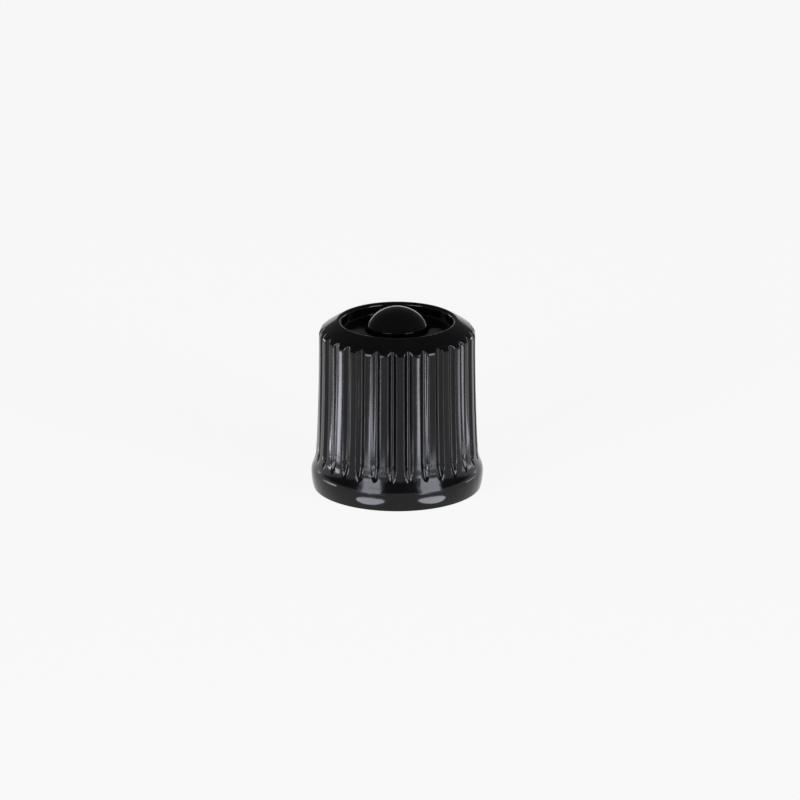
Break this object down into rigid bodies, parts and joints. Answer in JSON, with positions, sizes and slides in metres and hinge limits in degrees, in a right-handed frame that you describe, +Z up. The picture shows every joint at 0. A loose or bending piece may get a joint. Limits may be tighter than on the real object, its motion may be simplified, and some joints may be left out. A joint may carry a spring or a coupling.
{
  "type": "tyre valve cap",
  "caption": "Bell-shaped plastic tyre valve cap with reeded sides that stand on a barrel-shaped flange, a sloping shoulder, a sunk top with a low dome, and a blind threaded bore that screws onto the valve stem.",
  "frame": {"origin": "centre of the open mouth, on the plane the cap stands on", "axes": "+Z up along the valve stem's axis, from the mouth to the domed top; the crest of a reed faces -Y"},
  "size_m": [0.0106, 0.0106, 0.0114],
  "materials": {
    "black_plastic": "satin gloss, moulded"
  },
  "bodies": {
    "root": {"valve_cap": "black_plastic"}
  },
  "joints": []
}
